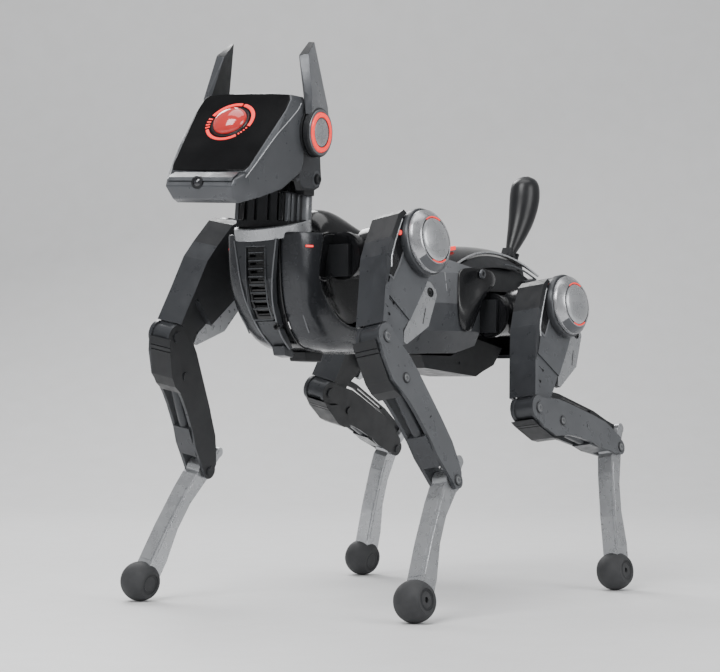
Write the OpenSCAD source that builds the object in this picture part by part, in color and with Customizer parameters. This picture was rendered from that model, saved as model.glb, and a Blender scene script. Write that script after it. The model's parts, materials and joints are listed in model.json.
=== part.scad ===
// Four-legged walking robot dog with expressive head, movable ears and tail.
// Forward is -Y, up is +Z, the robot's left side is +X. Millimetres.

/* [Body] */
// lift of the front hip pitch axes above the ground
shoulder_z = 375.5; // [370:0.5:380]
// lift of the rear hip pitch axes above the ground
hip_z = 319; // [315:0.5:323]
// distance from mid body to each hip axis along the body
axle_y = 140.7; // [139:0.1:143]
// sideways distance of the hip roll shafts from the middle plane
roll_x = 60; // [59:0.5:61]
// half width of the chest shell
chest_w = 56; // [52:0.5:57]
// half width of the waist shell
waist_w = 51; // [46:0.5:53]
// wall of the shells
wall = 2.6; // [2:0.1:3.5]
// sideways shift of the whole model to centre it on the origin
shift_x = 7.83; // [-20:0.01:20]
// lengthwise shift of the whole model to centre it on the origin
shift_y = 40.1; // [-80:0.01:80]

/* [Legs] */
// front thigh length between pins
thigh_front = 133; // [131:0.1:136]
// rear thigh length between pins
thigh_rear = 140; // [138:0.1:143]
// shank length between pins
shank_len = 175; // [172:0.1:178]
// metal lower leg length to the ball centre
pastern_len = 144.7; // [140:0.1:150]
// radius of the rubber foot ball
foot_r = 22; // [19:0.1:23]
// distance between knee pin and pushrod pin
lever = 27; // [26:0.1:28]
// radial running clearance of the pins
run = 0.05; // [0.03:0.01:0.09]

/* [Rest pose] */
// front left thigh angle from straight down
fl_thigh = -40.6; // [-45:0.1:-35]
// front left shank angle
fl_shank = 30.86; // [26:0.1:35]
// front left lower leg angle
fl_pastern = -35.5; // [-40:0.1:-30]
// front left sideways lean
fl_splay = 9.6; // [6:0.1:13]
// front right thigh angle from straight down
fr_thigh = -43.9; // [-48:0.1:-38]
// front right shank angle
fr_shank = 30.2; // [26:0.1:35]
// front right lower leg angle
fr_pastern = -30; // [-35:0.1:-25]
// front right sideways lean
fr_splay = 11.1; // [7:0.1:14]
// rear left thigh angle from straight down
rl_thigh = -33.8; // [-38:0.1:-30]
// rear left shank angle
rl_shank = 74.04; // [69:0.1:76]
// rear left lower leg angle
rl_pastern = -8.1; // [-12:0.1:-4]
// rear left sideways lean
rl_splay = 7.5; // [4:0.1:11]
// rear right thigh angle from straight down
rr_thigh = -41.8; // [-45:0.1:-38]
// rear right shank angle
rr_shank = 65.56; // [61:0.1:69]
// rear right lower leg angle
rr_pastern = -2.6; // [-6:0.1:2]
// rear right sideways lean
rr_splay = 13.9; // [10:0.1:16]

/* [Head] */
// forward tilt of the neck turning axis
neck_tilt = 11.7; // [8:0.1:14]
// turn of the head to its left
head_yaw = 8.4; // [5:0.1:12]
// sideways tilt of the head
head_roll = 4.4; // [2:0.1:6]
// radius of the neck ring
ring_r = 41; // [40:0.1:43]
// radius of the eye dome
eye_r = 18.6; // [16:0.1:20]

/* [Hidden] */
$fn = 64;
TH = [fl_thigh, fr_thigh, rl_thigh, rr_thigh];
SH = [fl_shank, fr_shank, rl_shank, rr_shank];
PA = [fl_pastern, fr_pastern, rl_pastern, rr_pastern];
SP = [fl_splay, fr_splay, rl_splay, rr_splay];
ax_r = 8;        // roll shaft radius
knee_r = 4.5;    // knee pin radius
hock_r = 4;      // hock pin radius
rod_pin = 2.8;   // pushrod pin radius
neck_c = [0, -222.3, 403];
mid_x = 122;     // lateral centre of a leg
grey = [0.23, 0.24, 0.26];
dark = [0.06, 0.065, 0.07];
silver = [0.74, 0.75, 0.77];
red = [0.85, 0.08, 0.06];
rubber = [0.09, 0.095, 0.1];

function t_of(i) = i < 2 ? thigh_front : thigh_rear;
function z_of(i) = i < 2 ? shoulder_z : hip_z;
function y_of(i) = i < 2 ? -axle_y : axle_y;
function ac(p) = [for (q = p) [-q[1], -q[0]]];

// outline given as [along the segment, towards the front], extruded sideways from x0 to x1
module prof(x0, x1, p) translate([x0, 0, 0]) rotate([90, 0, 90]) linear_extrude(x1 - x0) polygon(ac(p));
// outline given as [y, z], extruded sideways
module side(x0, x1, p) translate([x0, 0, 0]) rotate([90, 0, 90]) linear_extrude(x1 - x0) polygon(p);
// pin along x at [along, across]
module pin(x0, x1, r, a = 0, c = 0) translate([x0, -c, -a]) rotate([0, 90, 0]) cylinder(r = r, h = x1 - x0);
// pin along x at [y, z]
module pyz(x0, x1, r, y, z) translate([x0, y, z]) rotate([0, 90, 0]) cylinder(r = r, h = x1 - x0);

module whole() translate([shift_x, shift_y, 0]) children();
module flip(i) if (i == 1 || i == 3) mirror([1, 0, 0]) children(); else children();
// hip frame: splayed about the roll shaft, origin at the hip pitch axis height
module hip_at(i) whole() flip(i) translate([roll_x, y_of(i), z_of(i)]) rotate([0, -SP[i], 0]) translate([-roll_x, 0, 0]) children();
module thigh_at(i) hip_at(i) rotate([TH[i], 0, 0]) children();
module knee_at(i) hip_at(i) rotate([TH[i], 0, 0]) translate([0, 0, -t_of(i)]) rotate([-TH[i], 0, 0]) children();
module shank_at(i) knee_at(i) rotate([SH[i], 0, 0]) children();
module hock_at(i) shank_at(i) translate([0, 0, -shank_len]) rotate([-SH[i], 0, 0]) children();
module pastern_at(i) hock_at(i) rotate([PA[i], 0, 0]) children();
// head frame
module neck_at() whole() translate(neck_c) rotate(a = head_yaw, v = [0, -sin(neck_tilt), cos(neck_tilt)]) rotate([0, head_roll, 0]) translate(-neck_c) children();

// ---------- leg pieces ----------
module hip_actuator(i) color(dark) hip_at(i) difference() {
  union() {
    translate([roll_x, 41, 0]) rotate([90, 0, 0]) cylinder(r = 24, h = 82);
    translate([roll_x, 39, 0]) rotate([90, 0, 0]) cylinder(r = 25.5, h = 5.5);
    translate([roll_x, -33.5, 0]) rotate([90, 0, 0]) cylinder(r = 25.5, h = 5.5);
    pin(71, 99, 30);
    pin(98, 102.6, 25);
    pin(102, 136, 10);
  }
  translate([roll_x, 60, 0]) rotate([90, 0, 0]) cylinder(r = ax_r + run, h = 120);
  for (k = [0:5]) rotate([60 * k + 30, 0, 0]) pin(98, 104, 1.6, 0, 22);
}

module thigh_casing(i) {
  t = t_of(i);
  w = i < 2 ? 88 : 80;
  color(grey) thigh_at(i) union() {
  // pushrod pin across the slot
  pin(112, 132, rod_pin, t - lever, 0);
  difference() {
    union() {
      pin(103.2, 139, 35);
      prof(103.2, 134, [[-6, 37], [33, 37.5], [52, 34.5], [w, i < 2 ? 21.5 : 24], [w, -25], [40, -28.5], [0, -28.5]]);
      prof(102, 137, [[-9, 42], [1, 46.6], [33, 44.5], [54, 41.6], [t - 46, 27.3], [t - 24, 18.5], [t - 9, 12.5], [t - 11, 6], [t - 26, 12], [t - 49, 20], [52, 34], [33, 37], [0, 39], [-9, 36]]);
      prof(111.6, 132.4, [[w - 1, 23], [t - 24, 13], [t - 8, 10], [t + 6, 10.5], [t + 9, -7], [t - 16, -30], [t - 30, -22], [w - 1, -25]]);
      pin(111.6, 132.4, 12, t, 0);
    }
    // hip shaft bore
    pin(90, 150, 10 + run);
    // knee pin bore
    pin(100, 150, knee_r + run, t, 0);
    // room for the shank side plates
    pin(106.4, 111.6, 15.5, t, 0);
    pin(132.4, 140, 15.5, t, 0);
    // slot for the pushrod
    prof(119, 125, [[t - 38, 7.5], [t - 19, 7.5], [t - 17, -4], [t + 8, -32], [t + 20, -80], [t - 130, -80], [t - 76, -34], [t - 46, -12]]);
    // recess with chamfered rims beside the front plate
    prof(127, 140, [[i < 2 ? 20 : 2, 33], [50, 33], [i < 2 ? 80 : 88, 26], [i < 2 ? 80 : 88, 21], [50, 26.5], [i < 2 ? 20 : 2, 27]]);
    // two short vent lines with end holes
    for (a = [i < 2 ? 89 : 91, i < 2 ? 104 : 106]) { prof(131.6, 140, [[a, 4], [a + 1, 4], [a + 1, 16], [a, 16]]); pin(131.2, 140, 1.2, a + 0.5, 4); }
    // weight saving pocket on the inner side
    pin(102, 108, 22, 0, 0);
  }
  }
}

module hip_disc(i) color(silver) thigh_at(i) translate([139.1, 0, 0]) rotate([0, 90, 0]) difference() {
  rotate_extrude() polygon([[0, 0], [36, 0], [36, 4], [33.4, 5], [33.4, 8], [26.5, 14.5], [24.3, 15], [24.3, 13.6], [23, 13.6], [23, 15], [20, 17.2], [14, 18.8], [7, 19.7], [0, 20]]);
  for (a = [-52, -112]) rotate([0, 0, a]) translate([25, -0.5, 7.4]) cube([10, 1, 10]);
}

module thigh_fin(i) {
  s = i < 2 ? 0 : -23;
  color(silver) thigh_at(i) difference() {
    union() {
      for (x = [[111.8, 118.4], [125.6, 132.2]]) prof(x[0], x[1], [[28 + s, -28.8], [24 + s, -34], [24.5 + s, -46], [29 + s, -50.5], [70 + s, -54.6], [112 + s, -34.5], [i < 2 ? 114 : 90, i < 2 ? -29.2 : -30], [i < 2 ? 103 : 79, i < 2 ? -24.4 : -25.3], [40, -28.8]]);
      prof(111.8, 132.2, [[28 + s, -28.8], [25 + s, -34], [25.5 + s, -44], [44 + s, -44], [44 + s, -28.8]]);
    }
    pin(105, 140, 4.2, 34 + s, -40);
    pin(100, 140, 35.4, 0, 0);
    prof(131.2, 140, [[55 + s, -42], [74 + s, -46], [74.2 + s, -45], [55.2 + s, -41]]);
    prof(119, 125, [[t_of(i) - 38, 6], [t_of(i) - 20, 6], [t_of(i) + 8, -32], [t_of(i) + 20, -80], [t_of(i) - 130, -80], [t_of(i) - 76, -34]]);
  }
}
module shank_frame(i) color(grey) shank_at(i) difference() {
  union() {
    for (x = [[107, 111], [133, 137]]) {
      prof(x[0], x[1], [[-3, 12.6], [12, 18.5], [39, 22.5], [60, 16], [69, 14], [86, 12], [116, 10.5], [136, 12], [156, 10], [172, 8.6], [shank_len, 8], [shank_len + 3, -7], [173, -12], [157, -17], [140, -21], [110, -22], [58, -21.5], [37, -20.5], [14, -15], [-2, -12.6]]);
      pin(x[0], x[1], 14, 0, 0);
      pin(x[0], x[1], 9, shank_len, 0);
    }
    // knee pin, hock pin and cross bolts
    pin(106, 138, knee_r, 0, 0);
    pin(106, 138, hock_r, shank_len, 0);
    pin(106, 138, 3.5, 48.5, 2);
    pin(110, 134, 4.5, 48.5, 2);
    for (x = [[105.4, 107], [137, 138.4]]) { pin(x[0], x[1], 6, 0, 0); pin(x[0], x[1], 4.6, 48.5, 2); pin(x[0], x[1], 5, shank_len, 0); }
    // damper tube and its end block between the plates
    translate([mid_x, -5.5, -54]) rotate([180, 0, 0]) cylinder(r = 6.5, h = 62);
    prof(110.5, 133.5, [[112, 12.8], [150, 11.2], [146, 0.3], [112, 0.3]]);
    prof(110.5, 133.5, [[52, 10.6], [62, 10.6], [62, 0.4], [52, 0.4]]);
  }
  prof(130, 140, [[100, -8], [101, -8], [101, -4], [100, -4]]);
}

module shank_cover(i) color(dark) shank_at(i) difference() {
  union() {
    prof(103.4, 132.8, [[-6, 14.6], [2, 17.5], [18, 20.8], [37, 24.6], [50, 23], [61, 17.5], [60, 16.3], [50, 19.4], [39, 22.8], [12, 18.8], [0, 14.6]]);
    prof(111.3, 132.7, [[-4, 13.6], [2, 17.5], [18, 20.8], [37, 24.6], [50, 23], [58, 17.4], [50, 14], [36, 17], [16, 14.5]]);
    prof(103.4, 106.8, [[-6, 14.6], [2, 17.5], [18, 20.8], [37, 24.6], [50, 23], [58, 17.4], [46, 10], [20, 6], [8, 12]]);
  }
  prof(100, 140, [[2.5, 19], [3.7, 19], [3.7, 16.6], [2.5, 16.6]]);
  prof(100, 140, [[7.5, 20], [8.7, 20], [8.7, 17.6], [7.5, 17.6]]);
}

module pushrod(i) color(dark) knee_at(i) rotate([TH[i], 0, 0]) translate([0, 0, lever]) rotate([-TH[i] + SH[i], 0, 0]) difference() {
  union() {
    pin(119.4, 124.6, 6, 0, 0);
    pin(119.4, 124.6, 6, shank_len, 0);
    prof(120, 124, [[0, 4], [20, 3], [50, -2], [125, -2], [155, 3], [shank_len, 4], [shank_len, -4], [155, -5], [125, -8.5], [50, -8.5], [20, -5], [0, -4]]);
  }
  pin(110, 140, rod_pin + run, 0, 0);
  pin(110, 140, rod_pin + run, shank_len, 0);
  prof(118, 126, [[55, -4.2], [118, -4.2], [118, -6.2], [55, -6.2]]);
}

module pastern(i) {
  la = PA[i] - TH[i];
  L = pastern_len;
  color(silver) pastern_at(i) difference() {
    union() {
      pin(112.6, 131.4, 12, 0, 0);
      // lower leg bar
      prof(112.6, 131.4, [[7, 9.6], [12, 12.5], [34, 13.6], [82, 12.4], [L - 22, 9], [L - 6, 8], [L - 6, -16], [L - 34, -13.5], [74, -4.5], [42, -3], [7, -9]]);
      // rounded side rib
      prof(114.4, 129.6, [[30, 14.6], [82, 13.4], [L - 24, 10], [L - 24, 7], [30, 7]]);
      // fork that carries the pushrod
      for (x = [[112.6, 118.8], [125.2, 131.4]]) rotate([-la, 0, 0]) { prof(x[0], x[1], [[7, 7.6], [-lever, 5.2], [-lever, -5.2], [7, -7.6]]); pin(x[0], x[1], 6, -lever, 0); }
      rotate([-la, 0, 0]) pin(112, 132, rod_pin, -lever, 0);
      // core inside the foot ball
      pin(118, 126, 12, L, 0);
    }
    pin(100, 140, hock_r + run, 0, 0);
    rotate([-la, 0, 0]) difference() { prof(118.8, 125.2, [[-11, 12], [-lever - 9, 12], [-lever - 9, -12], [-11, -12]]); pin(110, 130, rod_pin, -lever, 0); }
    for (x = [[110, 114.2], [129.8, 134]]) prof(x[0], x[1], [[48, 7], [L - 40, 3], [L - 40, -1], [48, 2]]);
  }
}

module foot(i) color(rubber) pastern_at(i) difference() {
  translate([mid_x, 0, -pastern_len]) intersection() { sphere(r = foot_r); translate([-16, -40, -40]) cube([32, 80, 80]); }
  pin(137, 150, 12, pastern_len, 0);
  pin(90, 107, 12, pastern_len, 0);
  pin(130, 150, 3, pastern_len, 0);
  prof(112.5, 131.5, [[pastern_len - 40, 20], [pastern_len - 22, 9.1], [pastern_len - 5.9, 8.1], [pastern_len - 5.9, -16.1], [pastern_len - 34, -20]]);
  pin(117.9, 126.1, 12.1, pastern_len, 0);
}

// ---------- trunk ----------
module torso_frame() color(dark) whole() difference() {
  union() {
    // spine box
    side(-30, 30, [[-187, 340], [-187, 396], [-99, 396], [-97, 383], [20, 372], [94, 364], [187, 356], [187, 298], [20, 300], [-99, 320]]);
    // bulkheads
    for (s = [-1, 1]) {
      translate([-roll_x - 13, s < 0 ? -187 : -99, shoulder_z - 22]) cube([2 * roll_x + 26, 4.2, 34]);
      translate([-roll_x - 13, s < 0 ? 94.8 : 183, hip_z - 20]) cube([2 * roll_x + 26, 4.2, 38]);
      translate([s * roll_x, -94.8, shoulder_z]) rotate([90, 0, 0]) cylinder(r = ax_r, h = 92.2);
      translate([s * roll_x, 187.2, hip_z]) rotate([90, 0, 0]) cylinder(r = ax_r, h = 92.4);
    }
  }
  side(-26, 26, [[-160, 345], [-160, 392], [-103, 392], [-101, 379], [20, 368], [94, 360], [160, 353], [160, 302.5], [20, 304.5], [-97, 324]]);
  for (y = [-60, 0, 60, 130]) translate([0, y, 0]) cylinder(r = 9, h = 600);
}
module main_board() color([0.05, 0.25, 0.12]) whole() union() {
  translate([-24, -70, 334]) cube([48, 150, 1.8]);
  translate([-14, -40, 335.8]) cube([28, 28, 4]);
  translate([-18, 10, 335.8]) cube([12, 30, 8]);
  translate([6, 8, 335.8]) cube([12, 34, 6]);
  for (x = [-20, 20]) for (y = [-64, 74]) translate([x, y, 326]) cylinder(r = 2.5, h = 8.2);
}
// everything above the underside of the neck ring
module above_ring() translate(neck_c) rotate([neck_tilt, 0, 0]) translate([-90, -90, -6.9]) cube([180, 128, 60]);
// outline of the chest seen from the side, [y, z]
function chest_side(o) = [[-247 + o, 392 - o], [-243 + o, 350], [-236 + o, 325], [-219 + o, 298 + o], [-200 + o, 279 + o], [-180, 273 + o], [-96, 272 + o], [-96, 296], [-187.4, 304], [-187.4, 400 - o], [-238 + o, 400 - o]];
module chest_shell() color(grey) whole() difference() {
  intersection() {
    side(-70, 70, chest_side(0));
    translate([0, 0, 200]) linear_extrude(300) polygon([[-30, -246], [30, -246], [46, -234], [chest_w - 1, -212], [chest_w, -187], [chest_w - 6, -96], [-chest_w + 6, -96], [-chest_w, -187], [-chest_w + 1, -212], [-46, -234]]);
  }
  intersection() {
    side(-70, 70, [[-247 + wall, 420], [-243 + wall, 350], [-236 + wall, 325], [-218 + wall, 298], [-200 + wall, 279 + wall], [-180, 273 + wall], [-90, 272 + wall], [-90, 293], [-184, 301], [-184, 420]]);
    translate([0, 0, 200]) linear_extrude(300) polygon([[-29, -244], [29, -244], [44, -232], [chest_w - 3.6, -210], [chest_w - 2.6, -187], [chest_w - 8.6, -90], [-chest_w + 8.6, -90], [-chest_w + 2.6, -187], [-chest_w + 3.6, -210], [-44, -232]]);
  }
  above_ring();
  // scoop beside the front hip
  for (s = [-1, 1]) translate([s * (chest_w + 12), -176, 345]) sphere(r = 34);
  // opening under the front panel
  translate([-25, -260, 300]) cube([50, 16, 84]);
  // accent windows
  for (s = [-1, 1]) translate([s * 43, -236, 384]) rotate([0, 0, s * 35]) translate([-4, -8, 0]) cube([8, 10, 2]);
}
module front_panel() color(grey) whole() difference() {
  side(-29, 29, [[-252, 392], [-250, 350], [-243, 322], [-226, 294], [-206, 276.4], [-203, 278.5], [-220.5, 297.8], [-237.5, 324.5], [-244.6, 350], [-248.6, 392]]);
  for (s = [-1, 1]) translate([s * 29, -270, 392]) rotate([0, s * 9, 0]) translate([s > 0 ? 0 : -30, 0, -140]) cube([30, 90, 150]);
  above_ring();
  translate([-13, -270, 306]) cube([26, 60, 77.6]);
  translate([15, -200, 300]) rotate([90, 0, 0]) cylinder(r = 2.6, h = 70);
}
module vent_grille() color(dark) whole() difference() {
  side(-12.6, 12.6, [[-250.4, 383], [-248.9, 350], [-242, 324], [-233, 308], [-228, 308], [-237.2, 324], [-243.8, 350], [-246.2, 383]]);
  for (k = [0:7]) translate([-9, -260, 314 + 8.4 * k]) cube([18, 40, 3]);
}
module back_cover() color(dark) whole() difference() {
  side(-36, 36, [[-177, 401], [-168, 423], [-150, 430], [-123, 424], [-100, 408], [-40, 402], [30, 396], [34, 386], [-80, 398], [-177, 399]]);
  side(-33, 33, [[-174, 390], [-165, 420], [-150, 427], [-125, 421], [-103, 405.5], [-44, 399.5], [24, 393.5], [20, 380]]);
}
module waist_shell() color(grey) whole() difference() {
  intersection() {
    side(-70, 70, [[-94, 392], [30, 384], [94, 372], [94, 284], [60, 275], [-50, 273.5], [-94, 273.5]]);
    rotate([90, 0, 0]) translate([0, 0, -95]) linear_extrude(190) polygon([[-waist_w, 366], [-waist_w, 300], [-38, 272], [38, 272], [waist_w, 300], [waist_w, 366], [34, 398], [-34, 398]]);
  }
  intersection() {
    side(-70, 70, [[-99, 389], [30, 381], [99, 369], [99, 287], [60, 278], [-50, 276.5], [-99, 276.5]]);
    rotate([90, 0, 0]) translate([0, 0, -100]) linear_extrude(200) polygon([[-waist_w + wall, 364], [-waist_w + wall, 302], [-37, 274.6], [37, 274.6], [waist_w - wall, 302], [waist_w - wall, 364], [33, 395], [-33, 395]]);
  }
  for (s = [-1, 1]) translate([s * waist_w, 0, 331]) cube([1.2, 200, 1], center = true);
}
module saddle_cover() color(dark) whole() difference() {
  side(-46, 46, [[36, 392], [100, 401], [160, 403], [215, 398], [238, 372], [233, 370], [212, 384], [160, 390], [100, 388], [36, 387]]);
  side(-43, 43, [[40, 388], [100, 397.6], [160, 399.6], [212, 395], [232, 372], [240, 360], [20, 360]]);
}
module hip_scoops() color(dark) whole() for (s = [-1, 1]) mirror([s < 0 ? 1 : 0, 0, 0]) difference() {
  union() {
    side(51.4, 66, [[46, 366], [60, 372], [88, 372], [91, 330], [72, 303], [58, 300], [46, 317]]);
    pyz(60, 68.5, 5, 80, 364);
  }
  translate([86, 90, 334]) sphere(r = 27);
  translate([70, 40, 300]) sphere(r = 20);
}
module rear_housing() color(grey) whole() difference() {
  intersection() {
    side(-60, 60, [[187.4, 362], [214, 366], [228, 350], [226, 300], [206, 274], [187.4, 270]]);
    translate([0, 0, 200]) linear_extrude(300) polygon([[-54, 180], [54, 180], [53, 212], [38, 230], [-38, 230], [-53, 212]]);
  }
  intersection() {
    side(-60, 60, [[180, 359], [212, 363], [225, 349], [223, 302], [204, 277], [180, 273]]);
    translate([0, 0, 200]) linear_extrude(300) polygon([[-51.4, 180], [51.4, 180], [50.4, 211], [37, 227.4], [-37, 227.4], [-50.4, 211]]);
  }
  for (k = [0:4]) translate([-22, 215, 306 + 8 * k]) cube([44, 30, 3]);
}
module battery_pack() color(dark) whole() difference() {
  side(-33, 33, [[2, 272.6], [10, 258], [113, 248.5], [126, 254], [150, 262], [168, 282], [94.4, 296], [94.4, 281], [60, 272]]);
  for (k = [0:3]) translate([-40, 121.3 + 8.2 * k, 246.1 + 3.3 * k]) rotate([-30, 0, 0]) cube([80, 3, 6.4]);
  for (s = [-1, 1]) translate([s * 33, 60, 264]) cube([2.4, 40, 3], center = true);
}
// ---------- neck and head ----------
module neck_ring() color(silver) whole() translate(neck_c) rotate([neck_tilt, 0, 0]) difference() {
  translate([0, 0, -6.4]) cylinder(r = ring_r, h = 12.8);
  translate([0, 0, -10]) cylinder(r = ring_r - 4 + run, h = 30);
}
module neck_column() color(dark) union() {
  whole() translate(neck_c) rotate([neck_tilt, 0, 0]) translate([0, 0, -6]) cylinder(r = ring_r - 4, h = 13);
  difference() {
  neck_at() difference() {
    union() {
      translate([-31, -246, 404]) cube([62, 42, 38]);
      translate([-26, -240, 440]) cube([52, 34, 8]);
      translate([-40, -230, 440]) cube([80, 22, 7]);
      for (s = [-1, 1]) side(s > 0 ? 33 : -40, s > 0 ? 40 : -33, [[-230, 442], [-208, 442], [-210, 457], [-228, 457]]);
      for (s = [-1, 1]) pyz(s > 0 ? 33 : -40, s > 0 ? 40 : -33, 9, -219, 457);
      pyz(-50.5, 50.5, 5, -219, 457);
      translate([27, -208, 402]) cylinder(r = 8.5, h = 40);
      translate([-27, -208, 402]) cylinder(r = 8.5, h = 40);
    }
    for (x = [-22, -10, 6, 18]) translate([x, -250, 412]) cube([4, 7, 40]);
  }
  whole() translate(neck_c) rotate([neck_tilt, 0, 0]) translate([-90, -90, -50]) cube([180, 180, 56.95]);
  }
}
// outline of the head seen from the side, [y, z]
module head_form() intersection() {
  side(-70, 70, [[-279, 539], [-352, 454.4], [-368, 444.6], [-371, 437], [-366, 427], [-352, 421.6], [-342, 425], [-296, 439], [-267, 460], [-262, 476], [-226, 480], [-214, 492], [-212, 520], [-226, 536], [-250, 540]]);
  translate([0, 0, 380]) linear_extrude(200) polygon([[-52, -210], [52, -210], [56.4, -226], [57.4, -262], [56.5, -292], [46.5, -352], [42, -366], [30, -372], [-30, -372], [-42, -366], [-46.5, -352], [-56.5, -292], [-57.4, -262], [-56.4, -226]]);
}
module screen_outline(o = 0) polygon([[-53 - o, -1 + o], [53 + o, -1 + o], [56 + o, -14], [56 + o, -28], [47.5 + o, -104], [44 + o, -110.5 - o], [-44 - o, -110.5 - o], [-47.5 - o, -104], [-56 - o, -28], [-56 - o, -14]]);
module head_shell() color(grey) neck_at() difference() {
  head_form();
  translate([0, -290, 482]) scale(0.94) translate([0, 290, -482]) head_form();
  // seat and window of the face screen
  translate([0, -281.8, 537.7]) rotate([-40.7, 0, 0]) { translate([0, 3.4, 0]) rotate([90, 0, 0]) linear_extrude(30) screen_outline(0.3); translate([-46, -20, -104]) cube([92, 40, 96]); }
  // opening for the neck
  translate([-49.5, -262.5, 430]) cube([99, 62, 54]);
  translate([-49.5, -228.5, 430]) cube([99, 28, 71]);
  // camera seat
  translate([-2, -350, 441]) rotate([90, 0, 0]) cylinder(r = 5.1, h = 40);
  // ear shaft seats
  pyz(-80, 80, 6.1, -247.5, 503);
}
module on_face() neck_at() translate([0, -281.8, 537.7]) rotate([-40.7, 0, 0]) children();
module face_screen() color([0.01, 0.01, 0.012]) on_face() difference() {
  translate([0, 3.2, 0]) rotate([90, 0, 0]) linear_extrude(4.2) screen_outline();
  translate([-5, 10, -39.5]) rotate([90, 0, 0]) cylinder(r = eye_r + 0.2, h = 20);
}
module eye_lens() color(red) on_face() translate([-5, 3, -39.5]) rotate([90, 0, 0]) rotate_extrude() polygon([[0, 0], [eye_r, 0], [eye_r, 5], [eye_r - 2, 7.6], [eye_r - 5.5, 10], [eye_r - 10, 11.8], [eye_r - 14, 12.6], [0, 13]]);
module chin_camera() color(dark) neck_at() union() {
  translate([-2, -352, 441]) rotate([90, 0, 0]) cylinder(r = 5, h = 19.4);
  translate([-2, -371, 441]) rotate([90, 0, 0]) cylinder(r = 3.4, h = 1.4);
}
module head_bracket() color(dark) neck_at() difference() {
  union() {
    for (s = [-1, 1]) side(s > 0 ? 41 : -48, s > 0 ? 48 : -41, [[-262, 484.2], [-262, 500], [-216, 500], [-209, 460], [-212, 449], [-222, 445], [-248, 443], [-253, 452]]);
    translate([-48, -258, 485]) cube([96, 40, 6]);
    // ear shafts and housings
    for (s = [-1, 1]) { pyz(s > 0 ? 42 : -64, s > 0 ? 64 : -42, 6, -247.5, 503); pyz(s > 0 ? 57.6 : -59.6, s > 0 ? 59.6 : -57.6, 26, -247.5, 503); }
  }
  pyz(-60, 60, 5 + run, -219, 457);
}
module ear(s) neck_at() mirror([s < 0 ? 1 : 0, 0, 0]) difference() {
  union() {
    pyz(60.2, 67, 25.5, -247.5, 503);
    intersection() {
      side(40, 80, [[-270, 516], [-268.4, 541.5], [-259, 582], [-246, 598.5], [-240, 598.5], [-228, 545], [-224, 520]]);
      translate([0, -200, 0]) rotate([90, 0, 0]) linear_extrude(100) polygon([[60.2, 500], [60.2, 540], [55, 560], [46, 598.5], [50.5, 598.5], [56, 585], [64, 545], [66, 520], [66, 500]]);
    }
  }
  pyz(50, 64.5, 6 + run, -247.5, 503);
}
module ear_ring(s) neck_at() mirror([s < 0 ? 1 : 0, 0, 0]) union() {
  difference() { pyz(67.1, 70, 21, -247.5, 503); pyz(66, 72, 15.5, -247.5, 503); }
  pyz(67.1, 69.2, 13, -247.5, 503);
}
module ear_left() color(grey) ear(1);
module ear_right() color(grey) ear(-1);
module ear_ring_left() color(red) ear_ring(1);
module ear_ring_right() color(red) ear_ring(-1);
// ---------- tail ----------
module tail_at() whole() translate([0, 228, 380]) rotate([-27, 0, 0]) children();
module tail_mount() color(dark) union() {
  whole() difference() {
    union() {
      side(-15, 15, [[216, 396], [240, 384], [246, 366], [233, 360], [216, 380]]);
      translate([0, 228, 380]) rotate([-27, 0, 0]) cylinder(r = 10, h = 9);
    }
    side(-50, 50, [[0, 392], [36, 392.3], [100, 401.3], [160, 403.3], [215.4, 398.4], [238.4, 372.2], [238, 300], [0, 300]]);
    translate([0, 228, 380]) rotate([-27, 0, 0]) translate([-20, -20, 9]) cube([40, 40, 40]);
  }
  tail_at() { for (s = [-1, 1]) translate([-7, s > 0 ? 5.4 : -9, 6]) cube([14, 3.6, 18]); translate([0, 9.4, 17]) rotate([90, 0, 0]) cylinder(r = 3, h = 18.8); }
}
module tail() color(dark) tail_at() difference() {
  union() {
    translate([0, 4.9, 17]) rotate([90, 0, 0]) cylinder(r = 6.5, h = 9.8);
    rotate_extrude() polygon([[0, 18], [4.6, 18], [4.8, 30], [8, 31], [8, 38], [7, 44], [9, 56], [13.5, 74], [17.5, 88], [19.2, 100], [17, 111], [11, 119.5], [5, 123.4], [0, 124]]);
  }
  translate([0, 20, 17]) rotate([90, 0, 0]) cylinder(r = 3 + run, h = 40);
}

module hip_actuator_fl() hip_actuator(0);
module thigh_casing_fl() thigh_casing(0);
module hip_disc_fl() hip_disc(0);
module thigh_fin_fl() thigh_fin(0);
module shank_frame_fl() shank_frame(0);
module shank_cover_fl() shank_cover(0);
module pushrod_fl() pushrod(0);
module pastern_fl() pastern(0);
module foot_fl() foot(0);
module hip_actuator_fr() hip_actuator(1);
module thigh_casing_fr() thigh_casing(1);
module hip_disc_fr() hip_disc(1);
module thigh_fin_fr() thigh_fin(1);
module shank_frame_fr() shank_frame(1);
module shank_cover_fr() shank_cover(1);
module pushrod_fr() pushrod(1);
module pastern_fr() pastern(1);
module foot_fr() foot(1);
module hip_actuator_rl() hip_actuator(2);
module thigh_casing_rl() thigh_casing(2);
module hip_disc_rl() hip_disc(2);
module thigh_fin_rl() thigh_fin(2);
module shank_frame_rl() shank_frame(2);
module shank_cover_rl() shank_cover(2);
module pushrod_rl() pushrod(2);
module pastern_rl() pastern(2);
module foot_rl() foot(2);
module hip_actuator_rr() hip_actuator(3);
module thigh_casing_rr() thigh_casing(3);
module hip_disc_rr() hip_disc(3);
module thigh_fin_rr() thigh_fin(3);
module shank_frame_rr() shank_frame(3);
module shank_cover_rr() shank_cover(3);
module pushrod_rr() pushrod(3);
module pastern_rr() pastern(3);
module foot_rr() foot(3);

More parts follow.
